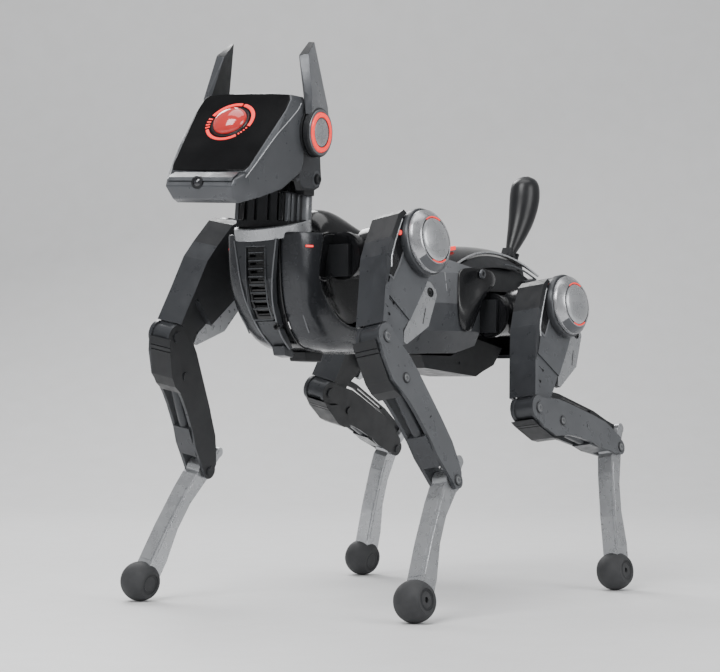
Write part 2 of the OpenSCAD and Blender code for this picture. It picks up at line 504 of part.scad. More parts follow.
// NODE CALLS
torso_frame();
main_board();
chest_shell();
front_panel();
vent_grille();
back_cover();
waist_shell();
saddle_cover();
hip_scoops();
rear_housing();
battery_pack();
neck_ring();
neck_column();
head_shell();
face_screen();
eye_lens();
chin_camera();
head_bracket();
ear_left();
ear_right();
ear_ring_left();
ear_ring_right();
tail_mount();
tail();
hip_actuator_fl();
thigh_casing_fl();
hip_disc_fl();
thigh_fin_fl();
shank_frame_fl();
shank_cover_fl();
pushrod_fl();
pastern_fl();
foot_fl();
hip_actuator_fr();
thigh_casing_fr();
hip_disc_fr();
thigh_fin_fr();
shank_frame_fr();
shank_cover_fr();
pushrod_fr();
pastern_fr();
foot_fr();
hip_actuator_rl();
thigh_casing_rl();
hip_disc_rl();
thigh_fin_rl();
shank_frame_rl();
shank_cover_rl();
pushrod_rl();
pastern_rl();
foot_rl();
hip_actuator_rr();
thigh_casing_rr();
hip_disc_rr();
thigh_fin_rr();
shank_frame_rr();
shank_cover_rr();
pushrod_rr();
pastern_rr();
foot_rr();
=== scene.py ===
import bpy, bmesh, json, math, random
import numpy as np
from mathutils import Matrix, Vector


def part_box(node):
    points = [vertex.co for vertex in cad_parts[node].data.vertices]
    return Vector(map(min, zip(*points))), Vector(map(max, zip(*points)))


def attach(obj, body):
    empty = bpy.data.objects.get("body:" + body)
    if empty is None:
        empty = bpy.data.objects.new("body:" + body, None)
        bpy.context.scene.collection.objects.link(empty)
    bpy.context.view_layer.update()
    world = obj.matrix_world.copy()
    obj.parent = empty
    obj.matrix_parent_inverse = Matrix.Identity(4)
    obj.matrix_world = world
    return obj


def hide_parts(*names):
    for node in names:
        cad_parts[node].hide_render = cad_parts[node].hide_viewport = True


random.seed(11)
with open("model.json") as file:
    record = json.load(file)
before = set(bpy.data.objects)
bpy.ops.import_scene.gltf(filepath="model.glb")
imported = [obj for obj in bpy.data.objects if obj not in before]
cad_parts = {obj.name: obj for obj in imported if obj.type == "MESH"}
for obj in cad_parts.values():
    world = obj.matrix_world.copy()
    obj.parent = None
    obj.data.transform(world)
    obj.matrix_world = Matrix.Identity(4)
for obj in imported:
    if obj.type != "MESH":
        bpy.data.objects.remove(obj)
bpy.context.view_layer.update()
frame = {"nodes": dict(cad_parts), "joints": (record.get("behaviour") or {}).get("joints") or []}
J = {j["name"]: j for j in frame["joints"]}
MM = 0.001


# ------------------------------------------------------------------ materials
def material(name, base, rough, metal=0.0, alt=None, grain=0.12, grain_scale=1500.0, var_scale=22.0, rough_var=0.12,
             coat=0.0, emit=None, emit_power=0.0, scratch=0.35, dust=0.0, brushed=None, spec=0.5):
    m = bpy.data.materials.new(name)
    m.use_nodes = True
    nt = m.node_tree
    n, l = nt.nodes, nt.links
    b = n["Principled BSDF"]
    tc = n.new("ShaderNodeTexCoord")
    b.inputs["Metallic"].default_value = metal
    b.inputs["Coat Weight"].default_value = coat
    b.inputs["Coat Roughness"].default_value = 0.08
    b.inputs["Specular IOR Level"].default_value = spec
    # large soft variation of tone
    big = n.new("ShaderNodeTexNoise"); big.inputs["Scale"].default_value = var_scale; big.inputs["Detail"].default_value = 5.0
    l.new(tc.outputs["Object"], big.inputs["Vector"])
    alt = alt or [min(1.0, c * 1.22 + 0.006) for c in base]
    ramp = n.new("ShaderNodeValToRGB")
    ramp.color_ramp.elements[0].position = 0.3; ramp.color_ramp.elements[0].color = (*base, 1)
    ramp.color_ramp.elements[1].position = 0.75; ramp.color_ramp.elements[1].color = (*alt, 1)
    l.new(big.outputs["Fac"], ramp.inputs["Fac"])
    # thin scratches and rubbed spots that lighten the tone a little
    mp = n.new("ShaderNodeMapping"); mp.inputs["Scale"].default_value = (30.0, 420.0, 55.0); mp.inputs["Rotation"].default_value = (0.4, 0.7, 0.3)
    l.new(tc.outputs["Object"], mp.inputs["Vector"])
    sc = n.new("ShaderNodeTexNoise"); sc.inputs["Scale"].default_value = 1.6; sc.inputs["Detail"].default_value = 8.0; sc.inputs["Roughness"].default_value = 0.7
    l.new(mp.outputs["Vector"], sc.inputs["Vector"])
    sr = n.new("ShaderNodeValToRGB")
    sr.color_ramp.elements[0].position = 0.60; sr.color_ramp.elements[0].color = (0, 0, 0, 1)
    sr.color_ramp.elements[1].position = 0.78; sr.color_ramp.elements[1].color = (scratch, scratch, scratch, 1)
    l.new(sc.outputs["Fac"], sr.inputs["Fac"])
    mix = n.new("ShaderNodeMix"); mix.data_type = "RGBA"; mix.blend_type = "MIX"
    mix.inputs["B"].default_value = (*[min(1.0, c * 1.5 + 0.03) for c in base], 1)
    l.new(sr.outputs["Color"], mix.inputs["Factor"]); l.new(ramp.outputs["Color"], mix.inputs["A"])
    l.new(mix.outputs["Result"], b.inputs["Base Color"])
    # roughness from fine blotches
    rn = n.new("ShaderNodeTexNoise"); rn.inputs["Scale"].default_value = 90.0; rn.inputs["Detail"].default_value = 6.0
    l.new(tc.outputs["Object"], rn.inputs["Vector"])
    mr = n.new("ShaderNodeMapRange")
    mr.inputs["From Min"].default_value = 0.25; mr.inputs["From Max"].default_value = 0.75
    mr.inputs["To Min"].default_value = max(0.03, rough - rough_var); mr.inputs["To Max"].default_value = min(1.0, rough + rough_var)
    l.new(rn.outputs["Fac"], mr.inputs["Value"]); l.new(mr.outputs["Result"], b.inputs["Roughness"])
    # surface grain
    gn = n.new("ShaderNodeTexNoise"); gn.inputs["Detail"].default_value = 3.0
    if brushed:
        gm = n.new("ShaderNodeMapping"); gm.inputs["Scale"].default_value = brushed
        l.new(tc.outputs["Object"], gm.inputs["Vector"]); l.new(gm.outputs["Vector"], gn.inputs["Vector"])
        gn.inputs["Scale"].default_value = 4.0
    else:
        l.new(tc.outputs["Object"], gn.inputs["Vector"]); gn.inputs["Scale"].default_value = grain_scale
    bp = n.new("ShaderNodeBump"); bp.inputs["Strength"].default_value = grain; bp.inputs["Distance"].default_value = 0.0004
    l.new(gn.outputs["Fac"], bp.inputs["Height"]); l.new(bp.outputs["Normal"], b.inputs["Normal"])
    if emit:
        er = n.new("ShaderNodeValToRGB")
        er.color_ramp.elements[0].position = 0.2; er.color_ramp.elements[0].color = (*[c * 0.8 for c in emit], 1)
        er.color_ramp.elements[1].position = 0.8; er.color_ramp.elements[1].color = (*emit, 1)
        l.new(big.outputs["Fac"], er.inputs["Fac"]); l.new(er.outputs["Color"], b.inputs["Emission Color"])
        b.inputs["Emission Strength"].default_value = emit_power
    return m


M = {
    "grey": material("gunmetal_paint", (0.040, 0.0425, 0.047), 0.34, metal=0.30, grain=0.06, scratch=0.05, coat=0.05, spec=0.4),
    "chest": material("chest_gloss_gunmetal", (0.030, 0.032, 0.036), 0.24, metal=0.35, grain=0.03, scratch=0.04, coat=0.2, spec=0.42),
    "mid2": material("facet_gunmetal_paint", (0.105, 0.11, 0.118), 0.34, metal=0.35, grain=0.05, scratch=0.04, spec=0.4),
    "plate": material("shank_plate_gunmetal", (0.120, 0.125, 0.133), 0.33, metal=0.4, grain=0.05, scratch=0.04, spec=0.4),
    "light": material("light_gunmetal_paint", (0.155, 0.16, 0.17), 0.34, metal=0.40, grain=0.06, scratch=0.05, spec=0.4),
    "mid": material("mid_gunmetal_paint", (0.078, 0.082, 0.089), 0.34, metal=0.35, grain=0.06, scratch=0.05, coat=0.05, spec=0.4),
    "dark": material("dark_satin_plastic", (0.016, 0.0168, 0.0185), 0.40, grain=0.08, scratch=0.05, spec=0.28),
    "gloss": material("gloss_black_plastic", (0.007, 0.0073, 0.0083), 0.19, coat=0.18, rough_var=0.05, grain=0.015, scratch=0.04, spec=0.38),
    "silver": material("satin_silver_paint", (0.43, 0.44, 0.455), 0.30, metal=0.7, grain=0.03, scratch=0.06, alt=[0.47, 0.48, 0.495]),
    "disc": material("hip_disc_silver", (0.40, 0.405, 0.42), 0.27, metal=0.8, grain=0.03, scratch=0.06, alt=[0.45, 0.455, 0.47]),
    "satin": material("satin_black_plastic", (0.010, 0.0105, 0.012), 0.33, rough_var=0.05, grain=0.02, scratch=0.04, spec=0.4),
    "screen": material("screen_glass_black", (0.0015, 0.0015, 0.002), 0.10, coat=0.08, rough_var=0.03, grain=0.003, scratch=0.01, spec=0.14),
    "lens": material("camera_lens_black", (0.006, 0.006, 0.010), 0.07, coat=1.0, rough_var=0.03, grain=0.005, scratch=0.05),
    "eye": material("eye_dome_red", (0.42, 0.02, 0.018), 0.10, coat=1.0, rough_var=0.03, grain=0.005, scratch=0.03, emit=(0.8, 0.035, 0.03), emit_power=0.32),
    "red": material("glow_red", (0.8, 0.035, 0.03), 0.30, grain=0.02, scratch=0.03, emit=(1.0, 0.045, 0.035), emit_power=1.15),
    "rubber": material("foot_rubber_black", (0.030, 0.031, 0.033), 0.72, grain=0.35, grain_scale=900.0, dust=0.2),
    "board": material("circuit_board_green", (0.01, 0.09, 0.04), 0.4, grain=0.2),
    "steel": material("screw_steel", (0.34, 0.345, 0.35), 0.30, metal=1.0, grain=0.05, scratch=0.3),
}


def set_mat(o, key):
    o.data.materials.clear()
    o.data.materials.append(M[key])
    return o


def bevel(o, w=0.0008, seg=2, angle=28):
    md = o.modifiers.new("bevel", "BEVEL")
    md.width = w; md.segments = seg; md.limit_method = "ANGLE"; md.angle_limit = math.radians(angle)
    md.use_clamp_overlap = True; md.harden_normals = False
    return o


LOOK = {"torso_frame": "dark", "main_board": "board", "chest_shell": "grey", "front_panel": "grey", "vent_grille": "gloss", "back_cover": "gloss",
        "waist_shell": "mid", "saddle_cover": "gloss", "hip_scoops": "gloss", "rear_housing": "grey", "battery_pack": "dark", "neck_ring": "silver",
        "neck_column": "dark", "head_shell": "mid", "face_screen": "screen", "eye_lens": "eye", "chin_camera": "lens", "head_bracket": "dark",
        "ear_left": "mid", "ear_right": "mid", "ear_ring_left": "red", "ear_ring_right": "red", "tail_mount": "dark", "tail": "gloss"}
LEG = {"hip_actuator": "gloss", "thigh_casing": "grey", "hip_disc": "disc", "thigh_fin": "silver", "shank_frame": "plate", "shank_cover": "dark",
       "pushrod": "dark", "pastern": "silver", "foot": "rubber"}
LEGS = ("fl", "fr", "rl", "rr")
for name, o in frame["nodes"].items():
    key = LOOK.get(name) or LEG[name[:-3]]
    set_mat(o, key)
    for p in o.data.polygons:
        p.use_smooth = True
    try:
        o.data.set_sharp_from_angle(angle=math.radians(28))
    except Exception:
        pass


# ------------------------------------------------------------------ frames
def V3(p): return Vector((float(p[0]), float(p[1]), float(p[2])))


NECK = V3(J["neck_turn"]["pos_m"]) * 1000
OFF = NECK - Vector((0, -222.3, 403.0))
TILT = math.radians(11.7)
NECK_AXIS = V3(J["neck_turn"]["axis"]).normalized()
MH = Matrix.Rotation(math.radians(8.4), 3, NECK_AXIS) @ Matrix.Rotation(math.radians(4.4), 3, "Y")


def tor(p): return (V3(p) + OFF) * MM                      # trunk: (x, y, z) millimetres


def head(p): return (NECK + MH @ (V3(p) - Vector((0, -222.3, 403.0)))) * MM


def face(p):                                               # (across, down the face, out of the face)
    u, v, d = p
    return head((u, -281.8 - 0.652 * v - 0.758 * d, 537.7 - 0.758 * v + 0.652 * d))


def ear_l(p): return head(p)
def ear_r(p): return head((-p[0], p[1], p[2]))


def tail_fr(p):                                            # tail frame, z along the tail
    a = math.radians(-27); x, y, z = p
    return tor((x, 228 + y * math.cos(a) - z * math.sin(a), 380 + y * math.sin(a) + z * math.cos(a)))


def legframe(l, part):
    s = 1 if l[1] == "l" else -1
    D = V3(J[l + "_hip_pitch"]["pos_m"]) * 1000; K = V3(J[l + "_knee"]["pos_m"]) * 1000; H = V3(J[l + "_hock"]["pos_m"]) * 1000
    b0, b1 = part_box("foot_" + l); F = (b0 + b1) * 500
    o = V3(J[l + "_knee"]["axis"]).normalized() * s
    A, B = {"thigh": (D, K), "shank": (K, H), "pastern": (H, F)}[part]
    a = (B - A); a = (a - o * a.dot(o)).normalized()
    c = a.cross(o) * s

    def f(p):                                              # (sideways from the middle plane of the body, along, forward)
        return (A + o * (p[0] - 122.0) + a * p[1] + c * p[2]) * MM
    return f


# ------------------------------------------------------------------ mesh builders
def finish_mesh(name, bm, key, body, bev=0.0, seg=2, sub=0, sharp=30, replaces=None, slot=None):
    bmesh.ops.remove_doubles(bm, verts=bm.verts[:], dist=1e-6)
    bmesh.ops.recalc_face_normals(bm, faces=bm.faces[:])
    me = bpy.data.meshes.new(name); bm.to_mesh(me); bm.free()
    o = bpy.data.objects.new(name, me); bpy.context.scene.collection.objects.link(o)
    for p in me.polygons: p.use_smooth = True
    if sub:
        md = o.modifiers.new("subsurf", "SUBSURF"); md.levels = sub; md.render_levels = sub
    else:
        me.set_sharp_from_angle(angle=math.radians(sharp))
    if bev: bevel(o, bev * MM, seg)
    me.materials.append(M[key])
    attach(o, body)
    if replaces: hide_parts(*replaces)
    return o


def prism(name, T, x0, x1, pts, key, body, bev=0.5, order="xac", **k):
    """outline (two numbers a point) pushed sideways from x0 to x1"""
    bm = bmesh.new(); rows = []
    for x in (x0, x1):
        rows.append([bm.verts.new(T((x, p[0], p[1])) if order == "xac" else T((p[0], p[1], x))) for p in pts])
    bm.faces.new(rows[0]); bm.faces.new(rows[1][::-1])
    n = len(pts)
    for i in range(n):
        bm.faces.new((rows[0][i], rows[0][(i + 1) % n], rows[1][(i + 1) % n], rows[1][i]))
    return finish_mesh(name, bm, key, body, bev, **k)


def hull(name, T, pts, key, body, bev=1.0, mirror=False, **k):
    bm = bmesh.new()
    allp = list(pts) + ([(-p[0], p[1], p[2]) for p in pts] if mirror else [])
    for p in allp: bm.verts.new(T(p))
    r = bmesh.ops.convex_hull(bm, input=bm.verts[:])
    junk = list({g for g in r["geom_interior"] + r["geom_unused"] if isinstance(g, bmesh.types.BMVert)})
    if junk: bmesh.ops.delete(bm, geom=junk, context="VERTS")
    bmesh.ops.dissolve_limit(bm, angle_limit=math.radians(1.5), verts=bm.verts[:], edges=bm.edges[:])
    return finish_mesh(name, bm, key, body, bev, **k)


def lathe(name, T, centre, axis, profile, key, body, segs=72, a0=0.0, a1=360.0, bev=0.0, **k):
    """profile of (out along the axis, radius), turned about the axis through the centre; the axis is "x" or "d" (third number)"""
    bm = bmesh.new(); rows = []
    full = abs(a1 - a0) >= 359.9
    n = segs if full else max(4, int(segs * abs(a1 - a0) / 360)) + 1
    for i in range(n):
        t = math.radians(a0 + (a1 - a0) * i / (segs if full else n - 1))
        row = []
        for (h, r) in profile:
            ca, sa = r * math.cos(t), r * math.sin(t)
            if axis == "x": q = (centre[0] + h, centre[1] - sa, centre[2] + ca)
            elif axis == "y": q = (centre[0] + ca, centre[1] + h, centre[2] + sa)
            else: q = (centre[0] + ca, centre[1] - sa, centre[2] + h)
            row.append(bm.verts.new(T(q)))
        rows.append(row)
    m = len(profile)
    closed_profile = k.pop("closed", False)
    for i in range(n if full else n - 1):
        A, B = rows[i], rows[(i + 1) % n]
        for j in range(m if closed_profile else m - 1):
            jj = (j + 1) % m
            bm.faces.new((A[j], B[j], B[jj], A[jj]))
    if not full and closed_profile:
        bm.faces.new(rows[0]); bm.faces.new(rows[-1][::-1])
    return finish_mesh(name, bm, key, body, bev, **k)


def ring(name, T, centre, axis, r0, r1, h0, h1, key, body, a0=0.0, a1=360.0, **k):
    return lathe(name, T, centre, axis, [(h0, r0), (h1 * 0.9 + h0 * 0.1, r0 + 0.15 * (r1 - r0)), (h1, (r0 + r1) / 2), (h1 * 0.9 + h0 * 0.1, r1 - 0.15 * (r1 - r0)), (h0, r1)], key, body,
                 a0=a0, a1=a1, closed=True, **k)


def tube(name, T, pts, r, key, body, n=10, flat=1.0, up=(0, 0, 1), **k):
    """a rod of radius r (one number or one a point) along points"""
    P = [T(p) for p in pts]
    R = r if isinstance(r, (list, tuple)) else [r] * len(P)
    bm = bmesh.new(); rows = []
    for i, p in enumerate(P):
        t = (P[min(i + 1, len(P) - 1)] - P[max(i - 1, 0)]).normalized()
        u = Vector(up).cross(t)
        if u.length < 0.05: u = Vector((1, 0, 0)).cross(t)
        u.normalize(); w = t.cross(u)
        rows.append([bm.verts.new(p + (u * math.cos(2 * math.pi * j / n) + w * math.sin(2 * math.pi * j / n) * flat) * R[i] * MM) for j in range(n)])
    for i in range(len(P) - 1):
        for j in range(n):
            bm.faces.new((rows[i][j], rows[i][(j + 1) % n], rows[i + 1][(j + 1) % n], rows[i + 1][j]))
    bm.faces.new(rows[0][::-1]); bm.faces.new(rows[-1])
    return finish_mesh(name, bm, key, body, 0.0, sharp=50, **k)


def smooth_path(pts, n=6):
    """points on a curve through the given points"""
    P = [Vector(p) for p in pts]; out = []
    for i in range(len(P) - 1):
        p0, p1, p2, p3 = P[max(i - 1, 0)], P[i], P[i + 1], P[min(i + 2, len(P) - 1)]
        for j in range(n):
            t = j / n
            out.append(0.5 * ((2 * p1) + (p2 - p0) * t + (2 * p0 - 5 * p1 + 4 * p2 - p3) * t * t + (3 * p1 - p0 - 3 * p2 + p3) * t ** 3))
    out.append(P[-1])
    return [tuple(q) for q in out]


def sheet(name, T, rows, key, body, thick=1.6, sub=2, **k):
    """a curved shell through a grid of points, given a thickness"""
    bm = bmesh.new()
    g = [[bm.verts.new(T(p)) for p in row] for row in rows]
    for i in range(len(g) - 1):
        for j in range(len(g[0]) - 1):
            bm.faces.new((g[i][j], g[i][j + 1], g[i + 1][j + 1], g[i + 1][j]))
    o = finish_mesh(name, bm, key, body, 0.0, sharp=60, **k)
    so = o.modifiers.new("solid", "SOLIDIFY"); so.thickness = thick * MM; so.offset = -1.0
    if sub:
        ss = o.modifiers.new("subsurf", "SUBSURF"); ss.levels = sub; ss.render_levels = sub
    return o


def screw(name, T, c, axis, r, key="steel", body=None, out=1.2, hexr=0.5):
    s = 1
    lathe(name, T, c, axis, [(0, r), (out * 0.6, r), (out, r * 0.86), (out, r * 0.52), (out * 0.35, r * 0.5), (out * 0.3, 0.0)], key, body, segs=32)


def paint(node, rule, T_inv=None):
    """one more material on faces picked by their centre and normal, both in the row frame"""
    o = frame["nodes"][node]; keys = {}
    me = o.data
    for p in me.polygons:
        key = rule(p.center, p.normal)
        if key is None: continue
        if key not in keys:
            me.materials.append(M[key]); keys[key] = len(me.materials) - 1
        p.material_index = keys[key]


def local(l, part):
    """from a row point back to (sideways, along, forward) in millimetres"""
    f = legframe(l, part); o0 = f((122, 0, 0)); ex = (f((123, 0, 0)) - o0) / MM; ea = (f((122, 1, 0)) - o0) / MM; ec = (f((122, 0, 1)) - o0) / MM

    def g(p):
        q = (V3(p) - o0) / MM
        return 122 + q.dot(ex), q.dot(ea), q.dot(ec)

    def gn(n):
        return V3(n).dot(ex), V3(n).dot(ea), V3(n).dot(ec)
    return g, gn


# ------------------------------------------------------------------ head
SHELL = [(50, *(-281.8 + 0.65, 537.7 + 0.75)), ]


def fpt(u, v, d=0.0):
    return (u, -281.8 - 0.652 * v - 0.758 * d, 537.7 - 0.758 * v + 0.652 * d)


front = [fpt(49.5, -1.5), fpt(53.2, 6), fpt(54.2, 22), fpt(46.2, 102), fpt(43.5, 110.5),
         (56.9, -271.5, 531.0), (57.3, -279, 522.5), (57.0, -295, 510), (54.8, -318, 491), (51.0, -338, 469), (46.4, -352, 450.5),
         (54.0, -262.6, 538.0), (57.3, -262.6, 530.0), (57.3, -262.6, 472.0), (55.5, -263.5, 462.0),
         (51.0, -294.0, 440.5), (47.5, -330.0, 429.5), (44, -342.0, 428.0), (52, -262.6, 458.5)]
hull("head_mask", head, front, "mid", "head", bev=1.0, mirror=True, seg=3, replaces=["head_shell"], slot="shell_grey")
hull("chin_bar", head, [(43.6, -352.5, 452.6), (40.6, -367.2, 444.8), (39.8, -370.3, 437.5), (35.5, -362.5, 425.3), (36.5, -351.5, 422.0), (47.2, -333.0, 428.8), (49.0, -330.0, 445.0), (46.2, -348, 451.0)],
     "mid", "head", bev=1.6, mirror=True, seg=3)
hull("head_back_cap", head, [(50, -263.0, 538.5), (53, -263, 530), (53, -263, 487), (50, -230, 534), (53, -228, 526), (53, -226, 487), (49, -214, 518), (49, -213, 494), (50, -222, 484.6), (50, -262.9, 484.6)],
     "grey", "head", bev=2.0, mirror=True, seg=3)

OUT = [(-49, -0.6), (-30, -2.2), (0, -2.8), (30, -2.2), (49, -0.6), (52.2, 7), (53, 22), (45.4, 103), (42.5, 109.6), (0, 110.6), (-42.5, 109.6), (-45.4, 103), (-53, 22), (-52.2, 7)]
prism("face_glass", face, -2.6, 1.0, OUT, "screen", "head", bev=0.7, order="face", replaces=["face_screen"], slot="screen_black")
# painted highlight: a thin silver line along the edge where the mask turns into the cheek, standing in for the light
# that this bevel catches
for sgn in (1, -1):
    line = [(57.0, -271.5, 530.6), (57.3, -279, 522.5), (57.0, -295, 510), (54.8, -318, 491), (51.0, -338, 469), (46.2, -356.5, 447.5)]
    tube("mask_edge_painted_highlight_" + ("left" if sgn > 0 else "right"), head, [(sgn * p[0], p[1], p[2]) for p in smooth_path(line, 5)], 0.55, "silver", "head", n=8)
# eye
E = (-5.0, 39.5, 0.9)
lathe("eye_dome", face, E, "d", [(0, 18.4)] + [(0.4 + 9.6 * math.sin(math.radians(a)), 18.4 * math.cos(math.radians(a))) for a in range(5, 90, 7)] + [(10.0, 0.001)], "eye", "head", segs=96, replaces=["eye_lens"], slot="red_lens")
ring("eye_bezel", face, E, "d", 18.3, 21.2, 0.0, 0.9, "gloss", "head", segs=96)
for i, (p0, p1, w) in enumerate([(80, 160, 2.1), (-15, 74, 2.1), (-152, -52, 1.8)]):
    ring("eye_arc_%d" % i, face, (E[0], E[1], 0.95), "d", 25.3 - w, 25.3 + w, 0.0, 0.7, "red", "head", a0=p0, a1=p1, segs=96, slot="red_glow")
for i, a in enumerate((-22, -30, -38, -45)):
    t = math.radians(a)
    lathe("eye_dot_%d" % i, face, (E[0] + 25.2 * math.cos(t), E[1] - 25.2 * math.sin(t), 0.95), "d", [(0, 1.15), (0.5, 1.0), (0.7, 0.001)], "red", "head", segs=16, slot="red_glow")
for i, a in enumerate((200, 190.5, 181, 171.5)):
    t = math.radians(a); c, s_ = math.cos(t), math.sin(t)
    q = [(E[0] + r * c - w * s_, E[1] - r * s_ - w * c) for r, w in ((22.6, -0.75), (27.4, -0.95), (27.4, 0.95), (22.6, 0.75))]
    prism("eye_tick_%d" % i, face, 0.9, 1.6, q, "red", "head", bev=0.15, order="face", slot="red_glow")
# chin: light strip above, lens seat, lens
prism("chin_lip", head, -38, 38, [(-356.6, 451.4), (-367.6, 445.6), (-369.6, 443.0), (-367.5, 446.9), (-356.5, 452.9)], "mid", "head", bev=0.3)
lathe("chin_lens_seat", head, (-2, -366.0, 441.2), "y", [(0, 6.6), (-5.2, 6.4), (-5.2, 4.3), (-3.6, 4.1)], "dark", "head", segs=40)
lathe("chin_lens_glass", head, (-2, -369.4, 441.2), "y", [(0, 4.6), (-1.2, 4.4), (-1.5, 3.6), (-2.1, 2.4), (-2.5, 1.0), (-2.6, 0.001)], "lens", "head", segs=40, replaces=["chin_camera"], slot="lens_black")
lathe("chin_lens_glint", head, (-1.2, -371.7, 442.3), "y", [(0, 1.0), (-0.5, 0.8), (-0.7, 0.001)], "silver", "head", segs=16)
# cheeks: screw, and the seam at the hinge bracket
for sgn, nm in ((1, "left"), (-1, "right")):
    T = (lambda p, s=sgn: head((s * p[0], p[1], p[2])))
    screw("bracket_screw_" + nm, T, (50.4, -219, 457), "x", 5.0, "dark", "head", out=1.4)
    ring("bracket_boss_" + nm, T, (47.9, -219, 457), "x", 5.4, 9.2, 0.0, 1.1, "mid", "head", segs=48)
    hull("bracket_cheek_" + nm, T, [(44, -256, 483), (48.6, -256, 480), (44, -214.5, 483), (48.6, -214.5, 480), (48.6, -211, 455), (44, -210.5, 455), (48.6, -222, 446), (44, -222, 445.6), (48.6, -246, 444.5), (44, -247, 444), (48.6, -254, 454), (44, -255, 454)],
         "grey", "head", bev=1.4, seg=3)
    # ear: housing, bezel, glow, cap, blade
    body = nm + "_ear"
    lathe("ear_housing_" + nm, T, (59.9, -247.5, 503), "x", [(0.3, 0.5), (0.3, 24.2), (1.0, 25.2), (6.0, 25.6), (7.0, 25.0), (7.6, 23.6), (7.4, 21.2), (7.0, 0.5)], "dark", body, segs=96)
    ring("ear_bezel_" + nm, T, (66.8, -247.5, 503), "x", 20.6, 24.0, 0.0, 1.5, "light", body, segs=96)
    ring("ear_glow_" + nm, T, (67.0, -247.5, 503), "x", 15.2, 20.8, 0.0, 2.6, "red", body, segs=96, replaces=["ear_ring_" + nm], slot="red_glow")
    lathe("ear_cap_" + nm, T, (67.0, -247.5, 503), "x", [(0, 14.9), (1.4, 14.8), (1.9, 13.8), (2.2, 11), (2.6, 7), (2.8, 3), (2.85, 0.001)], "silver", body, segs=72)
    ring("ear_cap_rim_" + nm, T, (67.0, -247.5, 503), "x", 14.4, 15.6, 0.0, 2.1, "gloss", body, segs=72)
    blade = [(59.0, -268.5, 541.5), (60.6, -268.5, 520), (66.2, -265.5, 537), (66.6, -264.5, 520), (62.0, -224.5, 530), (64.5, -225.0, 516), (60.4, -226, 527), (60.4, -226, 514),
             (45.2, -261.0, 581.5), (55.8, -259.2, 583.5), (45.6, -242.5, 598.2), (50.6, -239.2, 598.2), (50.4, -238.0, 592.0), (58.0, -268.6, 545.0)]
    o = hull("ear_blade_" + nm, T, blade, "light", body, bev=0.9, seg=2, replaces=["ear_" + nm], slot="shell_grey")
    me = o.data; me.materials.append(M["mid"]); me.materials.append(M["dark"])
    fwd = (T((0, -1, 0)) - T((0, 0, 0))).normalized(); up_ = (T((0, 0, 1)) - T((0, 0, 0))).normalized(); side_ = (T((1, 0, 0)) - T((0, 0, 0))).normalized()
    for p in me.polygons:
        n_ = p.normal
        if n_.dot(up_) > 0.45 and n_.dot(fwd) > 0.25: p.material_index = 2
        elif n_.dot(fwd) > 0.55: p.material_index = 1
        elif n_.dot(side_) < -0.3: p.material_index = 2


# neck: ribs and posts around the column
lathe("neck_post_left", head, (27.5, -208, 0), "d", [(409.5, 0.5), (409.5, 9.2), (441, 9.2), (442.5, 8.4), (443, 0.5)], "light", "neck", segs=40)
lathe("neck_post_right", head, (-27, -208, 0), "d", [(409.5, 0.5), (409.5, 9.2), (441, 9.2), (442.5, 8.4), (443, 0.5)], "light", "neck", segs=40)
for i, (x, w, k) in enumerate([(30.4, 2.2, "mid"), (-30.4, 2.2, "mid"), (24.0, 3.0, "gloss"), (-24.5, 3.0, "gloss")]):
    hull("neck_rib_%d" % i, head, [(x - w, -248.2, 411), (x + w, -248.2, 411), (x - w, -243, 411), (x + w, -243, 411), (x - w, -247.4, 441), (x + w, -247.4, 441), (x - w, -243, 441), (x + w, -243, 441)], k, "neck", bev=1.0)
hull("neck_top_block", head, [(30, -245, 440), (-30, -245, 440), (30, -206, 440), (-30, -206, 440), (28, -240, 455), (-28, -240, 455), (28, -208, 455), (-28, -208, 455)], "gloss", "neck", bev=1.5)
for i, y in enumerate((-238, -226)):
    hull("neck_side_rib_%d" % i, head, [(30.5, y - 2.4, 411), (32.6, y - 2.4, 411), (32.6, y + 2.4, 411), (30.5, y + 2.4, 411), (30.5, y - 2.4, 441), (32.6, y - 2.4, 441), (32.6, y + 2.4, 441), (30.5, y + 2.4, 441)], "mid", "neck", bev=0.9)

